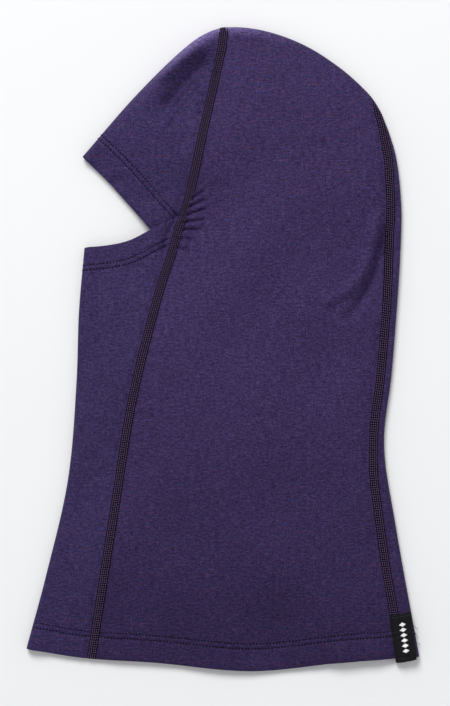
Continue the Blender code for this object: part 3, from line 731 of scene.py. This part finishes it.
class Band:
    """A strip over the cloth, read by length along it and by distance across.

    lines gives, for each distance across, the cloth's points and normals along the strip.
    """

    def __init__(self, across, lines, stations=None):
        self.across = np.array(across)
        stations = stations or len(lines[0][0])

        def even(points, table):
            lengths = running(points)
            at = np.linspace(0, lengths[-1], stations)
            return np.stack([np.interp(at, lengths, column) for column in table.T], -1)

        self.points = np.array([even(points, points) for points, _ in lines])
        self.normals = np.array([even(points, normals) for points, normals in lines])
        self.lengths = running(self.points[len(across) // 2])
        self.length = self.lengths[-1]

    @staticmethod
    def cell(stops, at):
        """The stop before a place, and the place's share of the way to the next one."""
        k = np.clip(np.searchsorted(stops, at) - 1, 0, len(stops) - 2)
        return k, ((at - stops[k]) / (stops[k + 1] - stops[k]))[..., None]

    def read(self, table, at, across):
        i, s = self.cell(self.lengths, at)
        s = np.clip(s, 0.0, 1.0)
        j, t = self.cell(self.across, across)
        low = table[j, i] * (1 - s) + table[j, i + 1] * s
        high = table[j + 1, i] * (1 - s) + table[j + 1, i + 1] * s
        return low * (1 - t) + high * t

    def place(self, at, across, height):
        """Points at a height over the strip, and its normals there."""
        at, across, height = np.broadcast_arrays(at, across, height)
        normals = unit(self.read(self.normals, at, across))
        return self.read(self.points, at, across) + normals * height[..., None], normals


def stitches(band, across, pitch, needle, base, uneven, seed):
    """A row of stitches: each one comes up out of the cloth and goes back down.

    needle is a stitch's length, radius and lift over the base height.
    """
    length, radius, lift = needle
    pick = np.random.default_rng(seed)
    count = int(band.length / pitch)
    centre = pitch * (np.arange(count) + 0.5)
    centre += uneven * pitch * pick.uniform(-1, 1, count)
    at = centre[:, None] + np.linspace(-0.5, 0.5, 5) * length
    shift = across + uneven * radius * pick.uniform(-1, 1, (count, 1))
    rise = base + lift + radius * np.array([-0.9, 0.35, 0.75, 0.35, -0.9])
    points, normals = band.place(at, shift, rise)
    radii = radius * np.array([0.55, 0.95, 1.0, 0.95, 0.55]) * np.ones((count, 1))
    return points, normals, radii


def ladder(band, half, pitch, radius, lift):
    """The crossing threads of a cover stitch: a zigzag from one edge to the other."""
    count = int(band.length / pitch)
    begin = pitch * np.arange(count)[:, None]
    share = np.array([0.0, 0.12, 0.38, 0.62, 0.88, 1.0])
    across = half * np.array([-1.0, -0.86, -0.3, 0.3, 0.86, 1.0])
    rise = lift + radius * np.array([-1.2, 0.35, 0.6, 0.6, 0.35, -1.2])
    lean = 0.62  # of the pitch, the length of one crossing
    out = band.place(begin + share * lean * pitch, across, rise)
    back = band.place(begin + (0.5 + share * lean) * pitch, -across, rise)
    points, normals = (np.concatenate(pair) for pair in zip(out, back))
    return points, normals, np.full(points.shape[:2], radius)


def ribbon(band, half, step, crown, lift, columns):
    """A low band of packed thread under the stitches."""
    at = np.linspace(0.0, band.length, int(band.length / step) + 1)[:, None]
    across = np.linspace(-1, 1, columns)
    grid, _ = band.place(at, across * half, lift + crown * (1 - across ** 4))
    flat = np.stack(np.broadcast_arrays(at, across * half), -1)
    return grid, flat


# ---- materials


class Nodes:
    """Short calls for building one material's nodes."""

    def __init__(self, name):
        self.made = bpy.data.materials.new(name)
        self.made.use_nodes = True
        self.tree = self.made.node_tree
        self.shader = self.tree.nodes["Principled BSDF"]
        self.where = self.tree.nodes.new("ShaderNodeUVMap")
        self.where.uv_map = "cloth"

    def node(self, kind, **given):
        made = self.tree.nodes.new("ShaderNode" + kind)
        for key, value in given.items():
            setattr(made, key, value)
        return made

    def link(self, source, target):
        self.tree.links.new(source, target)

    def put(self, socket, value):
        if isinstance(value, bpy.types.NodeSocket):
            self.link(value, socket)
        else:
            socket.default_value = value

    def fill(self, made, values, first=0):
        """Puts values into a node's inputs, from the first one on."""
        for socket, value in zip(made.inputs[first:], values):
            self.put(socket, value)
        return made

    def maths(self, kind, *values):
        return self.fill(self.node("Math", operation=kind), values).outputs[0]

    def noise(self, scale, stretch=(1.0, 1.0, 1.0), detail=2.0, where=None, rough=0.5):
        spread = self.node("Mapping")
        spread.inputs["Scale"].default_value = stretch
        self.link(where or self.where.outputs[0], spread.inputs["Vector"])
        made = self.node("TexNoise")
        for key, value in (("Scale", scale), ("Detail", detail), ("Roughness", rough)):
            made.inputs[key].default_value = value
        self.link(spread.outputs[0], made.inputs["Vector"])
        return made.outputs[0]

    def times(self, a, b):
        return self.maths("MULTIPLY", a, b)

    def remap(self, value, low, high, to_low, to_high):
        return self.fill(self.node("MapRange"), (value, low, high, to_low, to_high)).outputs[0]

    def mix(self, share, a, b):
        made = self.fill(self.node("Mix", data_type="RGBA"), (share,))
        return self.fill(made, (a, b), 6).outputs[2]

    def scaled(self, colour, value):
        """A colour times a grey number."""
        made = self.fill(self.node("VectorMath", operation="SCALE"), (colour,))
        return self.fill(made, (value,), 3).outputs[0]

    def bump(self, height, strength, distance):
        made = self.node("Bump")
        made.inputs["Strength"].default_value = strength
        made.inputs["Distance"].default_value = distance
        self.link(height, made.inputs["Height"])
        return made.outputs[0]

    def finish(self, colour, normal, roughness, **uniform):
        self.put(self.shader.inputs["Base Color"], colour)
        if normal:
            self.link(normal, self.shader.inputs["Normal"])
        self.put(self.shader.inputs["Roughness"], roughness)
        for key, value in uniform.items():
            self.shader.inputs[key.replace("_", " ")].default_value = value
        return self.made


def rgb(red, green, blue):
    """Linear colour of an sRGB one out of 255."""
    parts = [c / 255 for c in (red, green, blue)]
    line = [c / 12.92 if c <= 0.04045 else ((c + 0.055) / 1.055) ** 2.4 for c in parts]
    return (*line, 1.0)


WALE = 1.35  # millimetres between the knit's columns of loops
COURSE = 1.15  # and between its rows
WARP = 0.42  # millimetres over which a tape's weave repeats, across
WEFT = 0.36  # and along it
# The paler purple painted along the crown's fold as a highlight
PAINTED_SHEEN_COLOUR = rgb(112, 97, 146)


def knit(name, base, warm, cool, neck_painted_shade, crown_painted_light):
    """Heathered jersey: rows of V-shaped loops, mixed fibre colours and a soft sheen, with a
    painted highlight along the crown's fold.

    The last two numbers scale the cloth's lightness at the neck and at the crown against its
    middle's: painted shade towards the neck and painted light towards the crown, for how the lamp
    falls off down the cloth.
    """
    n = Nodes(name)
    parts = n.node("SeparateXYZ")
    n.link(n.where.outputs[0], parts.inputs[0])
    across, up, _ = parts.outputs  # the cloth's own places, in millimetres
    u = n.maths("DIVIDE", across, WALE)
    v = n.maths("DIVIDE", up, COURSE)
    wale = n.maths("PINGPONG", u, 0.5)
    lean = n.maths("ADD", v, n.times(wale, 1.3))
    loop = n.maths("SINE", n.times(lean, 2 * math.pi))
    loop = n.maths("MULTIPLY_ADD", loop, 0.5, 0.5)
    leg = n.maths("SINE", n.times(wale, 2 * math.pi))
    height = n.times(loop, n.maths("MULTIPLY_ADD", leg, 0.6, 0.4))
    fuzz = n.noise(2.6, detail=3.0)
    height = n.maths("ADD", height, n.times(fuzz, 0.5))

    slub = n.noise(1.0, (0.32, 0.85, 1.0))
    streak = n.noise(1.0, (0.7, 0.16, 1.0))
    cloud = n.noise(0.02, detail=3.0)
    grain = n.noise(1.1)
    tone = n.remap(slub, 0.3, 0.7, 0.66, 1.34)
    # The last two entries are painted shade towards the neck and painted light towards the crown
    for value, low, high, dark, light in (
        (streak, 0.3, 0.7, 0.88, 1.12), (cloud, 0.25, 0.75, 0.92, 1.08),
        (grain, 0.3, 0.7, 0.46, 1.54), (loop, 0.0, 1.0, 0.80, 1.12),
        (up, -190.0, 0.0, neck_painted_shade, 1.0), (up, 20.0, 190.0, 1.0, crown_painted_light),
    ):
        tone = n.times(tone, n.remap(value, low, high, dark, light))
    fleck = n.noise(0.12, (1.0, 1.6, 1.0), 5.0, rough=0.72)
    chill = n.noise(0.15, (0.8, 1.3, 1.0), 5.0, rough=0.72)
    colour = n.mix(n.remap(fleck, 0.50, 0.70, 0.0, 0.60), base, warm)
    colour = n.mix(n.remap(chill, 0.50, 0.70, 0.0, 0.55), colour, cool)
    # Painted highlight: the crown's fold is mixed towards a paler purple, standing in for sheen
    painted_sheen_share = n.node("Attribute", attribute_name="painted_sheen").outputs["Fac"]
    colour = n.mix(n.times(painted_sheen_share, 0.8), colour, PAINTED_SHEEN_COLOUR)
    colour = n.scaled(colour, tone)
    rough = n.remap(grain, 0.2, 0.8, 0.56, 0.68)
    normal = n.bump(height, 0.4, 0.22 * MM)
    return n.finish(
        colour, normal, rough, Sheen_Weight=0.10, Sheen_Roughness=0.28,
        Sheen_Tint=rgb(140, 105, 210), Specular_IOR_Level=0.12,
        Specular_Tint=rgb(205, 185, 255),
    )


def thread_material(name, base, light, rough=0.55, sheen=0.2, gloss=0.35):
    """Twisted sewing thread: slanting plies and uneven dye."""
    n = Nodes(name)
    twist = n.node("TexWave", wave_type="BANDS", bands_direction="DIAGONAL")
    twist.inputs["Scale"].default_value = 0.9
    twist.inputs["Distortion"].default_value = 0.6
    n.link(n.where.outputs[0], twist.inputs["Vector"])
    shade = n.noise(0.8)
    colour = n.mix(n.remap(shade, 0.3, 0.7, 0.0, 1.0), base, light)
    colour = n.scaled(colour, n.remap(twist.outputs[1], 0.0, 1.0, 0.75, 1.15))
    normal = n.bump(twist.outputs[1], 0.4, 0.05 * MM)
    return n.finish(
        colour, normal, n.remap(shade, 0.2, 0.8, rough - 0.1, rough + 0.15),
        Sheen_Weight=sheen, Sheen_Roughness=0.4, Specular_IOR_Level=gloss,
    )


def woven(name, base, light):
    """A woven tape: fine crossing yarns, lighter at their high spots."""
    n = Nodes(name)
    parts = n.node("SeparateXYZ")
    n.link(n.where.outputs[0], parts.inputs[0])
    warp = n.maths("SINE", n.times(parts.outputs[0], 2 * math.pi / WARP))
    weft = n.maths("SINE", n.times(parts.outputs[1], 2 * math.pi / WEFT))
    weave = n.maths("MULTIPLY_ADD", n.times(warp, weft), 0.5, 0.5)
    dirt = n.noise(0.7, detail=3.0)
    colour = n.mix(n.remap(dirt, 0.35, 0.7, 0.0, 0.6), base, light)
    colour = n.scaled(colour, n.remap(weave, 0.0, 1.0, 0.75, 1.2))
    normal = n.bump(weave, 0.35, 0.08 * MM)
    return n.finish(
        colour, normal, n.remap(dirt, 0.2, 0.8, 0.6, 0.8), Specular_IOR_Level=0.15,
    )


# The last two numbers paint shade towards the neck and light towards the crown, set apart for the
# side and front panels
side_knit = knit("knit_side", rgb(54, 42, 78), rgb(75, 50, 80), rgb(44, 49, 88), 0.74, 1.0)
front_knit = knit("knit_front", rgb(51, 41, 76), rgb(73, 50, 79), rgb(43, 49, 87), 0.96, 1.06)
seam_dark = thread_material("seam_base_thread", rgb(10, 5, 16), rgb(17, 10, 25), 0.85, 0.0, 0.05)
seam_rung = thread_material("seam_cover_thread", rgb(30, 19, 40), rgb(44, 31, 55), 0.8, 0.0, 0.08)
seam_needle = thread_material(
    "seam_needle_thread", rgb(90, 72, 102), rgb(126, 104, 134), 0.65, 0.02, 0.15
)
hem_thread = thread_material("hem_thread", rgb(10, 6, 18), rgb(17, 11, 28), 0.8, 0.0, 0.08)
label_cloth = woven("woven_label", rgb(13, 12, 14), rgb(21, 19, 22))
label_white = woven("label_motif", rgb(232, 232, 236), rgb(250, 250, 252))
label_thread = thread_material("label_thread", rgb(18, 16, 20), rgb(30, 28, 34))
tail_thread = thread_material("tail_thread", rgb(60, 50, 80), rgb(90, 80, 110))


# ---- panels


def rows_before(rows, length):
    """How many rows meet the arch seam before a length along it."""
    return int(np.searchsorted(rows, length - TINY))


neck_depth = rows_before(ROWS, NECK_HEM)
side_panels = []
for side, one_side in (("left", upper_row), ("right", under_row)):
    turned = hem(*panel(lambda at: side_row(at, one_side), ROWS), neck_depth)
    side_panels.append(
        sheet(f"{side}_side_cloth", *turned, CLOTH, side_knit, [f"{side}_side_panel"], "knit")
    )
left, right = side_panels

chin_rows = ROWS[ROWS <= ARCH_CHIN + TINY]
points, normals, flat = panel(chin_row, chin_rows)
chin_depth = len(chin_rows) - 1 - rows_before(chin_rows, ARCH_CHIN - CHIN_HEM)
turned, turned_flat = hem(points, normals, flat, neck_depth)
fringe = np.repeat(normals[:1], len(turned) - len(normals), axis=0)
turned = hem(turned, np.concatenate([fringe, normals]), turned_flat, chin_depth, -1)
chin = sheet("chin_cloth", *turned, CLOTH, front_knit, ["chin_panel"], "knit")

brow_rows = ROWS[ROWS >= ARCH_BROW - TINY]
points, normals, flat = panel(brow_row, brow_rows)
tuck = tuck_at(points[..., :2].reshape(-1, 2)).reshape(points.shape[:2])
brow_depth = rows_before(brow_rows, ARCH_BROW + BROW_HEM)
turned = hem(points - normals * tuck[..., None], normals, flat, brow_depth)
brow = sheet("brow_cloth", *turned, CLOTH, front_knit, ["brow_panel"], "knit")

# Stores on each panel how much painted highlight it takes along the crown's fold
for piece in (left, right, chin, brow):
    places = np.empty(3 * len(piece.data.vertices), dtype=np.float32)
    piece.data.vertices.foreach_get("co", places)
    shade = painted_sheen(places.reshape(-1, 3)[:, :2] - SHIFT[:2]).astype(np.float32)
    piece.data.attributes.new("painted_sheen", "FLOAT", "POINT").data.foreach_set("value", shade)


# ---- seams

ACROSS = np.linspace(-3.2, 3.2, 7) * MM  # where the cloth is read across a seam


def on_layer(xy, side):
    """The cloth over plan points, all on the upper layer for +1 or on the lower for -1."""
    return lay(xy, np.full(len(xy), float(side)))


def joined(*runs):
    """Runs of points and normals as one."""
    return [np.concatenate(column) for column in zip(*runs)]


def arch_line(across):
    """The cloth along the arch seam, from the neck hem above over the crown to it below."""
    low = np.arange(0.0, ARCH.length - FOLD_RADIUS, SEAM_STEP)
    xy = ARCH.at(low) + across * right_of(ARCH.tangent(low))
    turns = np.radians(np.arange(80, -81, -20))
    place = np.full(len(turns), TOP_AT + across)
    over = in_from_crown(place, FOLD_RADIUS * (1 - np.cos(turns)))
    crest = lay(over, np.where(turns >= 0, 1.0, -1.0))
    return joined(on_layer(xy, 1), crest, on_layer(xy[::-1], -1))


def back_line(across):
    """The cloth along the back seam, which goes over to the under side at the crown."""
    up = np.arange(SEAM_STEP, BACK_LENGTH - BACK_SEAM_STOP, SEAM_STEP)
    at = CROWN.length - up
    width = np.linalg.norm(ARCH.at(up / BACK_LENGTH * ARCH.length) - CROWN.at(at), axis=1)
    reach = np.maximum(back_seam_inset(up), -UNDER_SHARE * unfold(width)) + across
    return lay(in_from_crown(at, inset_of(reach)), np.where(reach >= 0, 1.0, -1.0))


def hem_path(edge_points, inset, side, sewn_to_seam):
    """The cloth along a line round both layers, a distance in from an open edge."""
    edge = np.array(edge_points)
    first = edge[0] - unit(edge[1] - edge[0]) * HEM_OVERRUN
    last = edge[-1] + unit(edge[-1] - edge[-2]) * HEM_OVERRUN
    line = hem_line([first, *edge_points, last], inset, side)
    xy = line.at(np.arange(0.0, line.length, HEM_STEP))
    keep = fold_distance(xy)[0] > 0.02 * MM
    if sewn_to_seam:
        keep &= ARCH.nearest(xy)[2] < -SEAM_WIDTH / 2
        return joined(on_layer(xy[keep][::-1], 1), on_layer(xy[keep], -1))
    xy = xy[keep]
    return joined(on_layer(xy, 1), on_layer(xy[::-1], -1), on_layer(xy[:1], 1))


def seam_thread(name, base_name, band, packed, rungs, columns, sides):
    """One side of a seam: a low band of packed thread and the thread that crosses over it."""
    nodes = [f"{name}_thread"]
    half, step, crown, height, thick = packed
    grid, flat = ribbon(band, half, step, crown, height, columns)
    sheet(base_name, grid, flat, thick, seam_dark, nodes, "seam_thread")
    tube_piece(name, ladder(band, half, *rungs), seam_rung, nodes, "seam_thread", sides)


for name, line in (("arch_seam", arch_line), ("back_seam", back_line)):
    band = Band(ACROSS, [line(across) for across in ACROSS])
    seam_thread(f"{name}_cover", f"{name}_base", band, COVER_BAND, COVER_RUNGS, 9, 5)
    for number, across in enumerate(NEEDLES, 1):
        row = stitches(band, across, SEAM_PITCH, SEAM_NEEDLE, CLOTH / 2, SEAM_UNEVEN, number)
        node = f"{name}_needle_thread_{number}"
        tube_piece(f"{name}_needle_{number}", row, seam_needle, [node], "seam_thread", 6)
    seam_thread(f"{name}_looper", f"{name}_looper_base", band, LOOPER_BAND, LOOPER_RUNGS, 5, 4)

for name, edge, depth, side in HEM_EDGES:
    offsets = np.array([-0.5, 0.0, 0.5]) * ROW_PITCH
    lines = []
    for offset in offsets:
        inset = depth - ROW_INSET - ROW_PITCH / 2 + offset
        points, normals = hem_path(edge, inset, side, name != "neck_hem")
        if name == "brow_hem":
            points = points - normals * tuck_at(points[:, :2])[:, None]
        lines.append((points, normals))
    band = Band(offsets, lines, HEM_STATIONS)
    for number, offset in ((1, offsets[2]), (2, offsets[0])):
        row = stitches(band, offset, HEM_PITCH, HEM_NEEDLE, CLOTH / 2, HEM_UNEVEN, number)
        node = f"{name}_needle_thread_{number}"
        tube_piece(f"{name}_row_{number}", row, hem_thread, [node], "hem_thread", 6)
    row = ladder(band, ROW_PITCH / 2, HEM_PITCH, *HEM_LOOPER)
    node = f"{name}_looper_thread"
    tube_piece(f"{name}_looper", row, hem_thread, [node], "hem_thread", 4)


# ---- label


def on_label(up, share, height):
    """Points at a height over the cloth, by place up the label and share of its width."""
    up, share, height = np.broadcast_arrays(up, share, height)
    near = LABEL_NEAR[0] + (LABEL_NEAR[1] - LABEL_NEAR[0]) * up / LABEL_LENGTH
    at = CROWN.length - up.ravel()
    inset = (near + LABEL_WIDTH * share).ravel()
    points, normals = on_layer(in_from_crown(at, inset), 1)
    ease = 1 - LABEL_EASE * np.abs(2 * share.ravel() - 1) ** 3
    height = height.ravel() * np.where(height.ravel() > 0, ease, 1.0)
    points = points + normals * height[:, None]
    return points.reshape(*up.shape, 3), normals.reshape(*up.shape, 3)


label_share = np.linspace(0.0, 1.0, LABEL_COLUMNS)
outer_up = np.linspace(LABEL_LENGTH, 0.0, LABEL_ROWS)[:, None]
inner_up = np.linspace(0.0, LABEL_BACK, LABEL_BACK_ROWS)[:, None]
outer, outer_normals = on_label(outer_up, label_share, LABEL_HEIGHT)
inner, _ = on_label(inner_up, label_share, -LABEL_DEPTH)
down = np.array([*CROWN.tangent(CROWN.length), 0.0])
turns = np.radians(np.arange(15, 180, 15))[:, None, None]
radius = np.linalg.norm(outer[-1] - inner[0], axis=-1, keepdims=True) / 2
arc = np.cos(turns) * outer_normals[-1] + np.sin(turns) * down
bend = (outer[-1] + inner[0]) / 2 + radius * arc
label_points = np.concatenate([outer, bend, inner])
along = running(label_points[:, LABEL_COLUMNS // 2])[:, None]
label_flat = np.stack(np.broadcast_arrays(label_share * LABEL_WIDTH, along), -1)
tab = (label_points, label_flat, LABEL_THICK)
label = sheet("label_tab", *tab, label_cloth, ["hem_label"], "woven_label")

marks, mark_faces = [], []
rows, columns = MARK_GRID
lift = LABEL_HEIGHT + LABEL_THICK / 2 + MARK_THICK / 2
for number in range(MARKS):
    centre = LABEL_LENGTH - MARK_TOP - MARK_PITCH * number
    mark_faces += grid_faces(rows, columns, rows * columns * number)
    for reach in np.linspace(-1, 1, rows):
        width = MARK_SHARE * (1.02 - abs(reach))  # a little is left of it at the tips
        share = MARK_CENTRE + width * np.linspace(-1, 1, columns)
        marks.append(on_label(centre + MARK_HALF * reach, share, lift)[0])
marks = np.concatenate(marks)
motif = mesh_piece(
    "label_motif", marks, mark_faces, marks[:, :2], label_white, ["hem_label"], "woven_label"
)
thicken(motif, MARK_THICK)

sides = np.array([-0.5, 0.5]) * MM  # of the stitching
sewn_share = np.linspace(0.06, 0.94, 20)
sewn = [on_label(LABEL_LENGTH - LABEL_SEWN + side, sewn_share, LABEL_HEIGHT) for side in sides]
row = stitches(Band(sides, sewn), 0.0, LABEL_PITCH, LABEL_NEEDLE, LABEL_THICK / 2, 0.05, 4)
tube_piece("label_stitches", row, label_thread, ["label_stitch"], "hem_thread", 6)

for number, tail in enumerate(TAILS, 1):
    up, out, over = np.array(tail).T * MM
    knots = np.column_stack([in_from_crown(CROWN.length - up, -out), MIDDLE + over])
    curves = [np.polyfit(np.arange(len(knots)), column, 3) for column in knots.T]
    share = np.linspace(0, 1, TAIL_RINGS)
    path = np.stack([np.polyval(curve, 3 * share) for curve in curves], -1)[None]
    radii = TAIL_RADIUS * (1 - 0.5 * share ** 3)[None]
    row = (path, np.broadcast_to([0.0, 0.0, 1.0], path.shape), radii)
    tube_piece(f"tail_{number}", row, tail_thread, [f"thread_tail_{number}"], "hem_thread", 6)

# ---- stage

FLOOR = 6.0  # half its width
SENSOR = 36.0  # millimetres
CAMERA_AT = (1.30 * MM, -2.73 * MM, 1.612)
CAMERA_RANGE = 1.6  # to the cloth's middle
VIEW_HEIGHT = 0.4366  # seen there
LAMP_AT = (-0.7, 2.1, 2.4)
LAMP_SIZE = 1.6
LAMP_POWER = 88.0

floor_mesh = bpy.data.meshes.new("floor")
floor_corners = [(FLOOR * x, FLOOR * y, 0) for x, y in ((-1, -1), (1, -1), (1, 1), (-1, 1))]
floor_mesh.from_pydata(floor_corners, [], [(0, 1, 2, 3)])
add_object("floor", floor_mesh)
paper = Nodes("paper")
spots = paper.noise(3.0, where=paper.node("TexCoord").outputs["Object"])
white = paper.scaled((1.0, 1.0, 1.005), paper.remap(spots, 0.3, 0.7, 0.785, 0.795))
floor_mesh.materials.append(paper.finish(white, None, 0.9, Specular_IOR_Level=0.1))

world = bpy.data.worlds.new("studio")
bpy.context.scene.world = world
world.use_nodes = True
sky = world.node_tree.nodes["Background"].inputs
sky["Color"].default_value = (0.96, 0.97, 1.0, 1.0)
sky["Strength"].default_value = 0.60

lamp_data = bpy.data.lights.new("key", "AREA")
lamp_data.shape = "DISK"
lamp_data.size = LAMP_SIZE
lamp_data.energy = LAMP_POWER
lamp = add_object("key", lamp_data)
lamp.location = LAMP_AT
lamp.rotation_mode = "QUATERNION"
lamp.rotation_quaternion = (-lamp.location).to_track_quat("-Z", "Y")

camera_data = bpy.data.cameras.new("camera")
camera_data.sensor_width = SENSOR
camera_data.lens = SENSOR * CAMERA_RANGE / VIEW_HEIGHT
camera = add_object("camera", camera_data)
camera.location = CAMERA_AT
bpy.context.scene.camera = camera
bpy.context.scene.view_settings.view_transform = "Standard"
